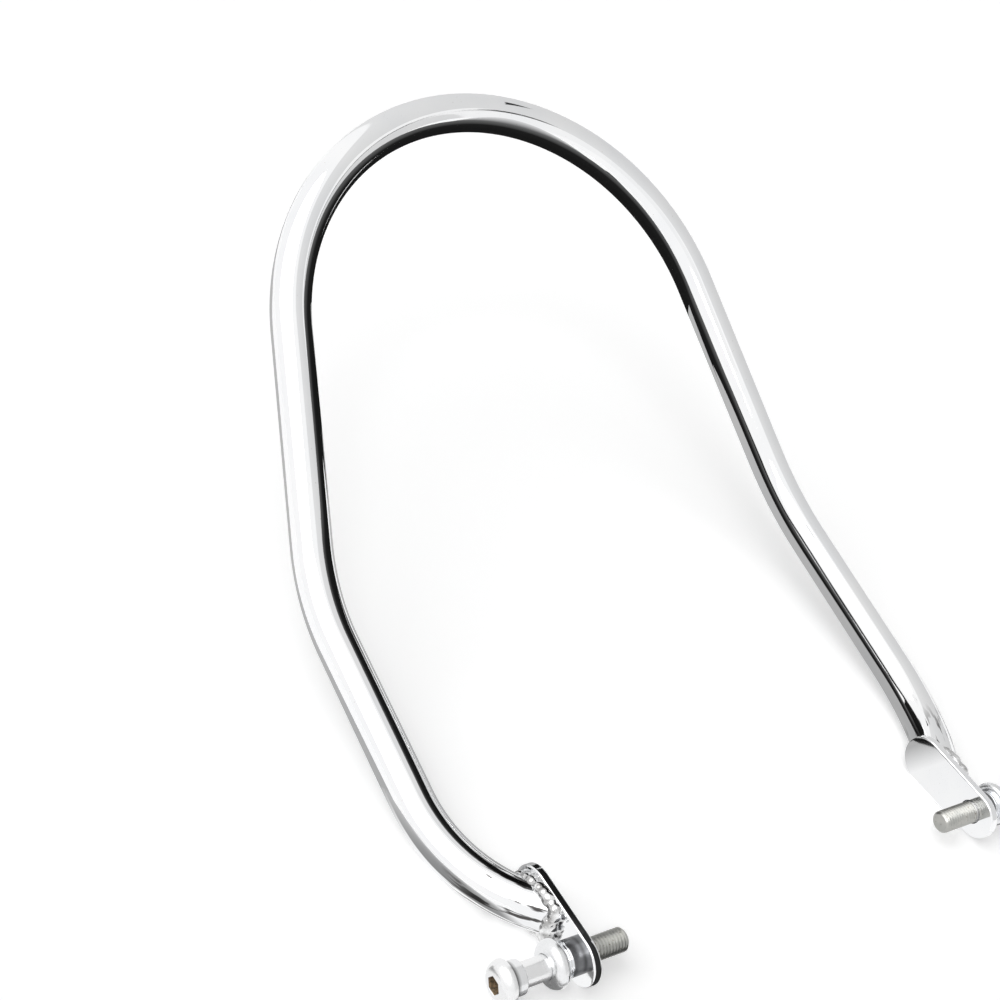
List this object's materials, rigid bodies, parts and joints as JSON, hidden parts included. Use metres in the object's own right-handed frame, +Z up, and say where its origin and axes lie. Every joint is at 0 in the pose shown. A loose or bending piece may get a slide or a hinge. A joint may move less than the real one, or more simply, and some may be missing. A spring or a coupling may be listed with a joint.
{
  "type": "motorcycle passenger grab bar",
  "caption": "Bent chrome tube that loops up behind a motorcycle seat as a passenger's grab bar, welded at each front end to a flat tab held by a domed socket bolt.",
  "frame": {"origin": "midway between the two tab holes, on the line through both bolts", "axes": "+X to the machine's right along the bolt line, +Y forward, +Z up; the arch is behind and above"},
  "size_m": [0.3522, 0.444, 0.227],
  "materials": {
    "chrome_tube": "polished chrome plate",
    "chrome_plate": "polished chrome plate",
    "chrome_weld": "chrome plate over a lumpy weld",
    "chrome_fixings": "polished chrome plate",
    "satin_steel": "satin turned steel"
  },
  "bodies": {
    "root": {"grab_tube": "chrome_tube", "right_mounting_tab": "chrome_plate", "left_mounting_tab": "chrome_plate", "right_weld_bead": "chrome_weld", "left_weld_bead": "chrome_weld", "right_ridged_spacer": "satin_steel", "left_ridged_spacer": "satin_steel", "right_dome_washer": "chrome_fixings", "left_dome_washer": "chrome_fixings", "right_head_collar": "chrome_fixings", "left_head_collar": "chrome_fixings", "right_mount_bolt": "chrome_fixings", "left_mount_bolt": "chrome_fixings"}
  },
  "joints": []
}
